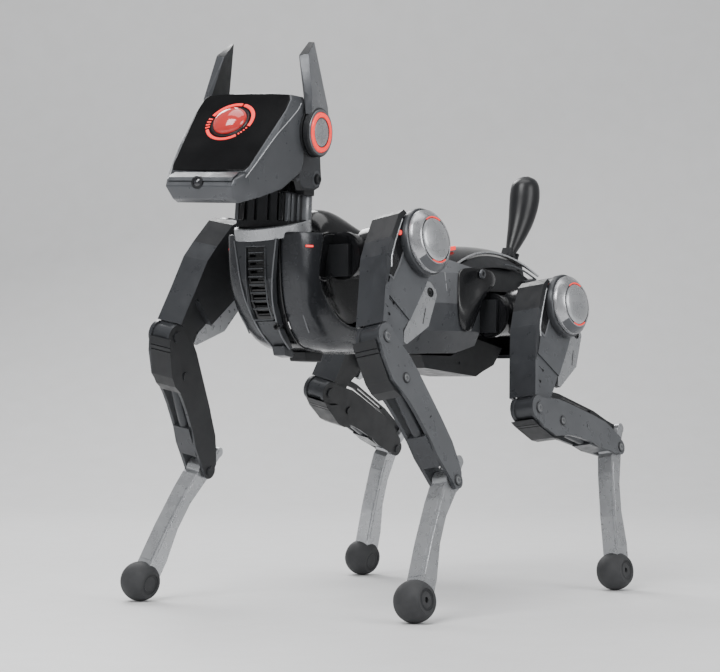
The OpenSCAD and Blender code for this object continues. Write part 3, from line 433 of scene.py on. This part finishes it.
# ------------------------------------------------------------------ legs
for l in LEGS:
    f = l[0] == "f"
    t = 133.0 if f else 140.0
    TH_, SH_, PA_ = legframe(l, "thigh"), legframe(l, "shank"), legframe(l, "pastern")
    th, sh, pa, hp = "thigh_" + l, "shank_" + l, "pastern_" + l, "hip_" + l
    # thigh casing: tones by facet
    g, gn = local(l, "thigh")

    def rule(c, n, g=g, gn=gn, t=t, f=f):
        x, al, ac = g(c); nx, na, nc = gn(n)
        w = 88 if f else 80
        rr = math.hypot(al, ac)
        if rr < 36 and abs(nx) < 0.3 and x > 133.5: return "grey"          # disc housing wall
        if 100 < x < 138 and ac > 30 and al < 34 and nc > -0.2: return "dark"
        if x > 133.7 and nx > 0.8 and rr > 34: return "mid2" if ac < 30 else "grey"
        if 131 < x < 133.7 and nx > 0.8: return "mid2"
        if nx < -0.8: return "dark"
        return None
    paint("thigh_casing_" + l, rule)
    # slot beside the front plate with bright chamfered rims, and the red point at its top
    e = 50 if f else 60
    s0 = 18 if f else 0
    tube("slot_rim_front_" + l, TH_, [(136.9, 2, 38.9), (137.0, 18, 38.0), (137.1, 33, 36.8), (137.1, 44, 35.2), (137.1, 52, 33.8), (137.0, 62, 28.8)], 0.8, "silver", th, n=8)
    so = 0 if f else -14
    prism("slot_floor_" + l, TH_, 133.2, 134.25, [(4 + so, 33), (50 + so, 32.5), (66 + so, 29.5), (66 + so, 19), (50 + so, 18.2), (26 + so, 19.6), (4 + so, 24)], "gloss", th, bev=0.2)
    prism("slot_lip_" + l, TH_, 133.4, 135.0, [(28 + so, 19.6), (50 + so, 18.4), (67 + so, 19.2), (68.5 + so, 28), (70 + so, 27.6), (69 + so, 17.6), (50 + so, 16.4), (28 + so, 17.4)], "light", th, bev=0.4)
    lathe("slot_light_" + l, TH_, (133.9, s0 - 2 + (0 if f else -4), 33.2), "x", [(0, 2.7), (2.0, 2.6), (2.9, 1.6), (3.1, 0.001)], "red", th, segs=24, slot="red_glow")
    # end pin holes of the two vent lines
    for j, aa in enumerate((89.5, 104.5) if f else (91.5, 106.5)):
        ring("vent_end_%s_%d" % (l, j), TH_, (132.3, aa, 4), "x", 0.9, 1.7, 0.0, 0.35, "gloss", th, segs=20)
        prism("vent_line_%s_%d" % (l, j), TH_, 131.4, 132.5, [(aa - 0.25, 5), (aa + 0.25, 5), (aa + 0.25, 16), (aa - 0.25, 16)], "gloss", th, bev=0.05)
    # hip disc: dark joint line, red arcs, darker chin segment
    lathe("disc_housing_" + l, TH_, (134.5, 0, 0), "x", [(0.0, 35.2), (0.0, 36.3), (6.2, 36.4), (7.8, 35.6), (8.6, 33.8), (8.4, 33.0), (4.5, 33.0)], "grey", th, segs=120, closed=True)
    lathe("disc_dome_" + l, TH_, (139.1, 0, 0), "x", [(4.6, 33.7), (8.0, 33.4), (9.0, 32.8), (14.3, 27.0), (15.0, 26.0), (15.2, 24.9), (14.2, 24.4), (13.6, 23.6)], "disc", th, segs=120, replaces=["hip_disc_" + l], slot="satin_silver")
    lathe("disc_cap_" + l, TH_, (139.1, 0, 0), "x", [(13.2, 23.3), (15.0, 22.9), (16.2, 21.6)] + [(20.0 - 3.6 * (r / 21.0) ** 2, r) for r in (19, 16, 13, 10, 7, 4, 2)] + [(20.0, 0.001)], "silver", th, segs=120)
    lathe("disc_groove_" + l, TH_, (139.1, 0, 0), "x", [(13.0, 24.9), (14.6, 24.6), (14.9, 23.9), (14.6, 23.2), (13.0, 23.0)], "gloss", th, segs=120, closed=True)
    for j, (b0_, b1_) in enumerate(((-30, 30), (150, 206))):
        aa = -TILT if False else 0
        # arcs at the top and bottom of the cap, measured round the pin from straight up
        up_l, up_c = g(TH_((122, 0, 0)) + Vector((0, 0, 0.01)))[1:]
        base = math.degrees(math.atan2(-up_l, up_c))
        ring("disc_light_%s_%d" % (l, j), TH_, (139.1, 0, 0), "x", 23.5, 25.0, 14.2, 15.5, "red", th, a0=base + b0_, a1=base + b1_, segs=120, slot="red_glow")
    # darker lower segment of the bevel, with its two joint lines
    up_l, up_c = g(TH_((122, 0, 0)) + Vector((0, 0, 0.01)))[1:]
    base = math.degrees(math.atan2(-up_l, up_c))
    lathe("disc_chin_" + l, TH_, (139.1, 0, 0), "x", [(8.6, 33.2), (9.3, 32.9), (14.6, 26.9), (14.9, 26.2), (13.8, 26.1), (8.0, 32.6)], "mid", th, segs=120, a0=base + 150, a1=base + 232, closed=True)
    # fin: joint line and pin hole
    sft = 0 if f else -23
    ring("fin_hole_" + l, TH_, (131.9, 34 + sft, -40), "x", 3.9, 5.4, 0.0, 0.9, "gloss", th, segs=40)
    lathe("fin_hole_floor_" + l, TH_, (126.5, 34 + sft, -40), "x", [(0, 4.3), (0.6, 4.2), (0.8, 0.001)], "gloss", th, segs=32)
    prism("fin_line_" + l, TH_, 131.6, 132.45, [(56 + sft, -42.2), (74 + sft, -46.1), (74.2 + sft, -45.0), (56.2 + sft, -41.1)], "gloss", th, bev=0.1)
    # shank: bolts, knee cap ring
    for j, (aa, cc, r) in enumerate(((0, 0, 5.2), (48.5, 2, 4.4), (175, 0, 4.6))):
        ring("shank_bolt_rim_%s_%d" % (l, j), SH_, (136.9, aa, cc), "x", r - 1.0, r + 1.5, 0.0, 1.2, "dark", sh, segs=40)
        screw("shank_bolt_%s_%d" % (l, j), SH_, (136.9, aa, cc), "x", r - 0.8, "steel", sh, out=1.7)
        lathe("shank_bolt_in_%s_%d" % (l, j), SH_, (107.1, aa, cc), "x", [(0, r), (-1.2, r), (-1.6, r * 0.8), (-1.6, r * 0.5), (-0.6, r * 0.45), (-0.5, 0.001)], "steel", sh, segs=32)
    # pastern: bright side facets on the fork
    for j, x in enumerate((131.3, 112.7)):
        d_ = 1 if j == 0 else -1
        prism("pastern_flat_%s_%d" % (l, j), PA_, x - 0.1 * d_, x + 0.7 * d_, [(16, 9.5), (34, 10.6), (80, 9.4), (118, 6.4), (118, -4), (78, -1.6), (44, 0.2), (18, -3.5)], "silver", pa, bev=0.35)
    # foot: side cap, hole, rings
    for j, (x, d_) in enumerate(((137.0, 1), (107.0, -1))):
        L_ = 144.7
        ring("foot_cap_rim_%s_%d" % (l, j), PA_, (x, L_, 0), "x", 11.2, 13.4, 0.0 * d_, 0.8 * d_, "rubber", pa, segs=48)
        lathe("foot_cap_%s_%d" % (l, j), PA_, (x, L_, 0), "x", [(-0.6 * d_, 11.4), (0.1 * d_, 11.0), (0.3 * d_, 8.5), (-0.4 * d_, 7.6), (-0.4 * d_, 3.2), (-1.4 * d_, 3.0), (-2.6 * d_, 2.6), (-2.6 * d_, 0.001)], "dark", pa, segs=48)


# ------------------------------------------------------------------ trunk
def crown(s_, k): return max(0.0, 1 - abs(s_) ** k)


def chest_x(y):
    return 56.2 - (y + 187) * 0.066 if y > -187 else 56.2 - (-187 - y) * 0.06


# glossy shoulder hump and back deck
Ys = [-178, -173, -162, -147, -129, -112, -98, -80, -45, -5, 32]
Zt = [403.5, 417.5, 427.5, 430.0, 425.5, 416, 409, 406, 402.5, 398.5, 396]
Zb = [399, 400, 401, 401.5, 401.5, 401, 400, 399, 396.5, 393.5, 392.3]
Wd = [26, 30, 33, 35, 36, 36, 35.5, 35, 34, 33.5, 33]
Sx = [-1, -0.93, -0.8, -0.55, -0.28, 0, 0.28, 0.55, 0.8, 0.93, 1]
rows = [[(s_ * w, y, zb + (zt - zb) * crown(s_, 2.6) ** 0.75) for s_ in Sx] for y, zt, zb, w in zip(Ys, Zt, Zb, Wd)]
sheet("shoulder_hump", tor, rows, "gloss", "torso", thick=1.6, replaces=["back_cover"], slot="gloss_black")
for sgn, nm in ((1, "left"), (-1, "right")):
    prism("deck_light_" + nm, tor, sgn * 24.0, sgn * 27.0, [(60, 396.6), (80, 399.4), (80, 395.0), (60, 392.0)], "red", "torso", bev=0.3, slot="red_glow")
    prism("waist_mark_" + nm, tor, sgn * 49.5, sgn * 51.6, [(22, 366), (23.3, 366), (27.3, 345), (26.3, 345)], "silver", "torso", bev=0.2)
# saddle: arched cover between two rims
rim = [(45, 37, 368.5), (42.5, 62, 378.5), (38, 90, 387), (34, 118, 392.5), (32, 148.6, 394.5), (36, 176, 391), (44, 199, 381.5), (53, 216.5, 368.5)]
ridge = [391.5, 396.5, 400, 402, 402.2, 400.5, 396, 385]
rows = []
for (xr, y, zr), zt in zip(rim, ridge):
    rows.append([(s_ * xr, y + (12 if y > 190 else 0) * crown(s_, 2), zr + (zt - zr) * crown(s_, 2.4)) for s_ in Sx])
sheet("saddle_arch", tor, rows, "gloss", "torso", thick=2.0, replaces=["saddle_cover"], slot="gloss_black")
for sgn, nm in ((1, "left"), (-1, "right")):
    tube("saddle_rim_" + nm, tor, [(sgn * p[0], p[1], p[2]) for p in smooth_path(rim, 6)], 1.35, "silver", "torso", n=12)
    tube("saddle_inner_rim_" + nm, tor, [(sgn * p[0], p[1], p[2]) for p in smooth_path([(48, 150, 380), (49, 165, 379), (50.5, 190, 373.5), (51.5, 214, 364.5)], 5)], 1.1, "mid", "torso", n=10)
    sheet("saddle_flank_" + nm, tor, [[(sgn * 44.5, 40, 368), (sgn * 41, 70, 379.5), (sgn * 35.5, 105, 389), (sgn * 32, 148, 393.5), (sgn * 40, 190, 386)],
                                      [(sgn * 49, 42, 362), (sgn * 48, 72, 370), (sgn * 47, 106, 376), (sgn * 47.5, 148, 379), (sgn * 49, 190, 372)],
                                      [(sgn * 51.5, 44, 350), (sgn * 51.8, 74, 352), (sgn * 52, 96, 352), (sgn * 52, 98, 352), (sgn * 52, 99, 352)]] if False else
          [[(sgn * 44.5, 40, 368), (sgn * 41, 70, 379.5), (sgn * 35.5, 105, 389), (sgn * 32, 148, 393.0), (sgn * 40, 190, 385)],
           [(sgn * 49, 42, 362), (sgn * 48, 72, 369), (sgn * 47, 106, 374), (sgn * 47.5, 148, 377), (sgn * 49, 190, 371)]], "dark", "torso", thick=1.2)
    # organic scoop ahead of the rear hip, with its screw boss
    G = [[(52.5, 48, 371), (57, 62, 373.5), (62, 86, 374), (62, 108, 370), (54, 124, 365)],
         [(52.5, 48, 356), (53.5, 64, 357), (57, 82, 358), (66, 100, 357), (60, 118, 353)],
         [(53, 47, 337), (55, 58, 338), (59, 72, 340), (66, 88, 345), (60, 97, 347)],
         [(53.5, 47, 318), (57, 54, 319), (61, 65, 321), (62, 78, 325), (54, 88, 327)],
         [(53.5, 52, 303), (57, 57, 299.5), (58, 63, 298.5), (57, 70, 300), (53.5, 76, 304)]]
    sheet("hip_scoop_" + nm, tor, [[(sgn * q[0], q[1], q[2]) for q in r_] for r_ in G], "gloss", "torso", thick=2.2, replaces=["hip_scoops"] if sgn > 0 else None, slot="gloss_black")
    T = (lambda p, s=sgn: tor((s * p[0], p[1], p[2])))
    ring("scoop_boss_" + nm, T, (60.5, 84, 366), "x", 2.2, 5.4, 0.0, 2.6, "mid", "torso", segs=40)
    lathe("scoop_boss_hole_" + nm, T, (60.5, 84, 366), "x", [(0, 3.4), (1.0, 3.2), (1.1, 0.001)], "gloss", "torso", segs=24)
    # chest: glossy band beside the front panel, and the rounded rims
    Pn = [(-252.3, 391), (-250.4, 350), (-243.4, 322), (-226.4, 294.2), (-207, 277)]
    tube("panel_rim_" + nm, tor, [(sgn * (28.2 - 0.158 * (392 - z)), y, z) for y, z in [(p[1], p[2]) for p in smooth_path([(0, *q) for q in Pn], 5)]], 0.9, "light", "torso", n=8)
    tube("band_rim_" + nm, tor, [(sgn * (45.8 - 0.055 * (392 - z)), y + 17.2 - 0.03 * (392 - z), z) for y, z in [(p[1], p[2]) for p in smooth_path([(0, *q) for q in Pn[:4]], 5)]], 0.8, "light", "torso", n=8)
    d_ = Vector((9, 22, 0)).normalized(); nrm = Vector((22, -9, 0)).normalized()
    hull("chest_light_" + nm, T, [(52.6, -232.6, 384.8), (52.6, -232.6, 382.6), (55.9, -224.4, 384.8), (55.9, -224.4, 382.6), (50.5, -231.6, 384.8), (50.5, -231.6, 382.6), (53.6, -223.4, 384.8), (53.6, -223.4, 382.6)], "red", "torso", bev=0.3, slot="red_glow")
    # rounded side shell: from the front and bottom outline inwards to the edge of the dark recess
    O_ = [(-246.5, 399), (-245.5, 380), (-243.5, 355), (-239, 333), (-229, 311), (-214, 292), (-198, 279.5), (-180, 274), (-150, 272.8), (-120, 272.4), (-97, 272.2)]
    C_ = [(-205, 399), (-208, 380), (-214, 356), (-206, 336), (-192, 319), (-176, 306), (-160, 301), (-145, 299), (-130, 298.5), (-112, 298.5), (-97, 298.5)]
    X_ = [28.5, 28, 27, 25, 22, 19, 17, 16, 16, 16, 16]
    rows = []
    for o_, c2, x_ in zip(O_, C_, X_):
        row = []
        for k in range(8):
            q_ = k / 7; e_ = 1 - (1 - q_) ** 1.6
            row.append((x_ + (chest_x(c2[0]) - x_) * math.sqrt(max(0.0, 1 - (1 - q_) ** 2.4)), o_[0] + (c2[0] - o_[0]) * e_ * q_ ** 0.6, o_[1] + (c2[1] - o_[1]) * e_ * q_ ** 0.6))
        row.append((chest_x(c2[0]) - 4, c2[0] + 3, c2[1] + 2.5))
        rows.append([(sgn * p[0], p[1], p[2]) for p in row])
    sheet("chest_side_" + nm, tor, rows, "chest", "torso", thick=1.8, replaces=["chest_shell"] if sgn > 0 else None, slot="shell_grey")
    # recess behind it, folded inwards, with a lip; its near-black gloss is partly the scoop's own black and partly
    # painted shade filling the recess
    RG_ = [[(-203, 399), (-206, 380), (-212, 356), (-204, 338), (-190, 321), (-174, 308), (-155, 302)],
           [(-185, 399), (-186, 380), (-190, 358), (-184, 344), (-172, 330), (-158, 318), (-140, 308)],
           [(-150, 398), (-150, 380), (-152, 360), (-150, 346), (-144, 334), (-134, 322), (-120, 310)],
           [(-97, 397), (-97, 380), (-97, 360), (-97, 346), (-97, 334), (-97, 320), (-97, 300)]]
    DX = [(3.0, 2, 2, 2, 2, 2, 2), (5, 13, 17, 16, 14, 10, 4), (4, 9, 12, 12, 11, 9, 4), (3, 3, 3, 3, 3, 3, 3)]
    rows = [[(sgn * (chest_x(y) - dx), y, z) for (y, z), dx in zip(r1, r2)] for r1, r2 in zip(RG_, DX)]
    sheet("chest_recess_shade_" + nm, tor, rows, "gloss", "torso", thick=1.4)
    tube("scoop_lip_" + nm, T, smooth_path([(54.5, -214, 352), (55.5, -206, 349), (53, -195, 352), (48, -180, 359), (44, -168, 366)], 5), [0.5] + [1.6] * 19 + [0.5], "gloss", "torso", n=10)
# keel and front between the side shells
rows = []
for (y, z), x_ in zip([(-246.5, 399), (-245.5, 380), (-243.5, 355), (-239, 333), (-229, 311), (-214, 292), (-198, 279.5), (-180, 274), (-150, 272.8), (-120, 272.4), (-97, 272.2)], [28.5, 28, 27, 25, 22, 19, 17, 16, 16, 16, 16]):
    rows.append([(s_ * x_, y, z) for s_ in (-1.02, -0.5, 0, 0.5, 1.02)])
sheet("chest_keel", tor, rows, "gloss", "torso", thick=1.2)
# sensor pods under the keel
hull("keel_pod_front", tor, [(-9, -214, 281), (9, -214, 281), (-9, -196, 274), (9, -196, 274), (-8, -212, 270.5), (8, -212, 270.5), (-8, -198, 268), (8, -198, 268)], "grey", "torso", bev=1.2)
hull("keel_pod_mid", tor, [(-12, -182, 275), (12, -182, 275), (-12, -150, 274), (12, -150, 274), (-11, -180, 264.5), (11, -180, 264.5), (-11, -153, 263.5), (11, -153, 263.5)], "dark", "torso", bev=1.2)
hull("rear_inner_body", tor, [(46, 93, 347), (46, 93, 370), (35, 118, 383), (33, 150, 386), (38, 188, 377), (47, 214, 362), (49, 226, 348), (46, 200, 347)], "dark", "torso", bev=1.5, mirror=True)
# vent panel frame and louvres
VF = [(-12.8, 383.6), (12.8, 383.6), (12.8, 308), (-12.8, 308)]
for i, (z0, z1, x) in enumerate(((309, 382.5, -13.2), (309, 382.5, 13.2))):
    pts = []
    for z in [309, 318, 326, 338, 350, 366, 382.5]:
        y = -250.9 + (0 if z > 350 else (350 - z) * 0.16 + max(0, 322 - z) * 0.45)
        pts.append((x, y - 0.6, z))
    tube("vent_frame_%d" % i, tor, pts, 0.8, "mid", "torso", n=8)
for k in range(8):
    z = 317.4 + 8.4 * k
    y = -249.6 + (0 if z > 350 else (350 - z) * 0.2 + max(0, 322 - z) * 0.35)
    tube("louvre_%d" % k, tor, [(-10.2, y - 0.8, z + 1.6), (10.2, y - 0.8, z + 1.6)], 0.75, "mid", "torso", n=8)
for i, z in enumerate((384.4, 307.6)):
    y = -251.2 if z > 350 else -238.4
    tube("vent_cap_%d" % i, tor, [(-13.2, y, z), (13.2, y, z)], 0.8, "mid", "torso", n=8)
lathe("panel_hole", tor, (15, -233.5, 300), "y", [(0, 3.6), (-2.4, 3.5), (-2.9, 2.9), (-2.4, 2.3), (-0.2, 2.2), (0, 0.001)], "gloss", "torso", segs=32)

# shank: only the outer plate is light, the inner side, tube and blocks are dark
for l in LEGS:
    g, gn = local(l, "shank")

    def srule(c, n, g=g, gn=gn):
        x, al, ac = g(c); nx, na, nc = gn(n)
        if x < 112 and nx < -0.5: return "dark"
        if 111.5 < x < 132.9: return "grey"
        if abs(nx) < 0.5: return "grey"
        return None
    paint("shank_frame_" + l, srule)

# trunk tones by facet
def chest_rule(c, n):
    q = (V3(c) / MM) - OFF
    for s_ in (1, -1):
        if abs((q - Vector((s_ * 68, -176, 345))).length - 34) < 0.6: return "gloss"
    if n.y < -0.3 and 29 < abs(q.x) < 46.5 and q.y < -232: return "gloss"
    if abs(n.x) > 0.9 and q.y > -187.2: return "gloss"
    return None


def waist_rule(c, n):
    q = (V3(c) / MM) - OFF
    if q.z > 331 and abs(n.x) > 0.3: return "light"
    if q.z < 300: return "grey"
    return None


paint("waist_shell", waist_rule)

# neck ring: smooth lip
NR = lambda p: tor((p[0], -222.3 + (p[1] + 222.3) * math.cos(TILT) - (p[2] - 403) * math.sin(TILT), 403 + (p[1] + 222.3) * math.sin(TILT) + (p[2] - 403) * math.cos(TILT)))
lathe("neck_collar", NR, (0, -222.3, 403), "d", [(-6.4, 37.3), (-6.4, 40.4), (-5.6, 41.0), (5.4, 41.0), (6.4, 40.2), (6.4, 37.9), (6.0, 37.3)], "silver", "torso", segs=128, closed=True, replaces=["neck_ring"], slot="satin_silver")

# tail: curved paddle on its collar
tp = [(0, 232, 388.5), (0, 236.5, 397.5), (0, 245, 411), (0, 254, 426), (0, 262, 442), (0, 267.5, 458), (0, 270.5, 472), (0, 271.5, 484), (0, 271.5, 491), (0, 271.2, 495)]
tr = [4.7, 6.0, 9.8, 13.4, 16.6, 18.7, 19.3, 17.6, 12.8, 4.0]
P_ = smooth_path(tp, 4); R_ = [p[0] for p in smooth_path([(r_, 0, 0) for r_ in tr], 4)]
o = tube("tail_paddle", tor, P_, R_, "satin", "tail_body", n=32, flat=0.94, up=(1, 0, 0), replaces=["tail"], slot="gloss_black")
lathe("tail_knuckle", tail_fr, (0, 0, 17), "y", [(-4.8, 0.5), (-4.8, 6.0), (-4.2, 6.5), (4.2, 6.5), (4.8, 6.0), (4.8, 0.5)], "dark", "tail_body", segs=40)
lathe("tail_stem", tail_fr, (0, 0, 0), "d", [(18, 0.5), (18, 4.4), (24, 4.9), (28, 7.2), (31, 7.8), (37, 7.2), (38, 6.4), (38, 0.5)], "grey", "tail_body", segs=48)

# ------------------------------------------------------------------ floor, light, camera
def area(name, loc, target, size, power, sy=None, color=(1, 1, 1)):
    d = bpy.data.lights.new(name, "AREA"); d.energy = power; d.color = color
    d.shape = "RECTANGLE"; d.size = size; d.size_y = sy or size
    o = bpy.data.objects.new(name, d); bpy.context.scene.collection.objects.link(o)
    o.location = loc
    o.rotation_euler = (Vector(target) - Vector(loc)).to_track_quat("-Z", "Y").to_euler()
    return o


def studio():
    w = bpy.data.worlds.new("studio"); bpy.context.scene.world = w; w.use_nodes = True
    w.node_tree.nodes["Background"].inputs["Color"].default_value = (0.93, 0.94, 0.95, 1)
    w.node_tree.nodes["Background"].inputs["Strength"].default_value = 0.42
    # floor that curves up into a backdrop
    fm = material("pale_floor", (0.80, 0.80, 0.80), 0.55, alt=[0.83, 0.83, 0.835], grain=0.03, scratch=0.0)
    bm = bmesh.new()
    prof = [(-4.5, 0.0), (1.6, 0.0)] + [(1.6 + 1.2 * math.sin(a), 1.2 - 1.2 * math.cos(a)) for a in [math.radians(k) for k in range(6, 91, 6)]] + [(2.8, 5.0)]
    rows = []
    for x in (-6.0, 6.0):
        rows.append([bm.verts.new((x, p[0], p[1])) for p in prof])
    for i in range(len(prof) - 1):
        bm.faces.new((rows[0][i], rows[1][i], rows[1][i + 1], rows[0][i + 1]))
    me = bpy.data.meshes.new("studio_floor"); bm.normal_update(); bm.to_mesh(me); bm.free()
    fl = bpy.data.objects.new("studio_floor", me); bpy.context.scene.collection.objects.link(fl)
    for p in me.polygons: p.use_smooth = True
    me.materials.append(fm)
    fl.rotation_euler = (0, 0, math.radians(36.775))
    area("key", (0.2, -1.7, 2.0), (0, 0, 0.3), 1.2, 46)
    area("fill", (2.2, 0.1, 1.1), (0, 0, 0.25), 1.1, 20)
    area("rim", (-1.5, 0.9, 1.7), (0, 0, 0.35), 1.0, 30)
    area("top", (0.0, 0.1, 2.4), (0, 0, 0.3), 1.6, 20)
    cd = bpy.data.cameras.new("camera"); cd.lens = 112.4; cd.sensor_width = 36; cd.sensor_fit = "HORIZONTAL"
    co = bpy.data.objects.new("camera", cd); bpy.context.scene.collection.objects.link(co)
    co.location = (1.50110, -2.02666, 0.24459)
    co.rotation_euler = (math.radians(91.117), 0, math.radians(36.775))
    bpy.context.scene.camera = co


studio()
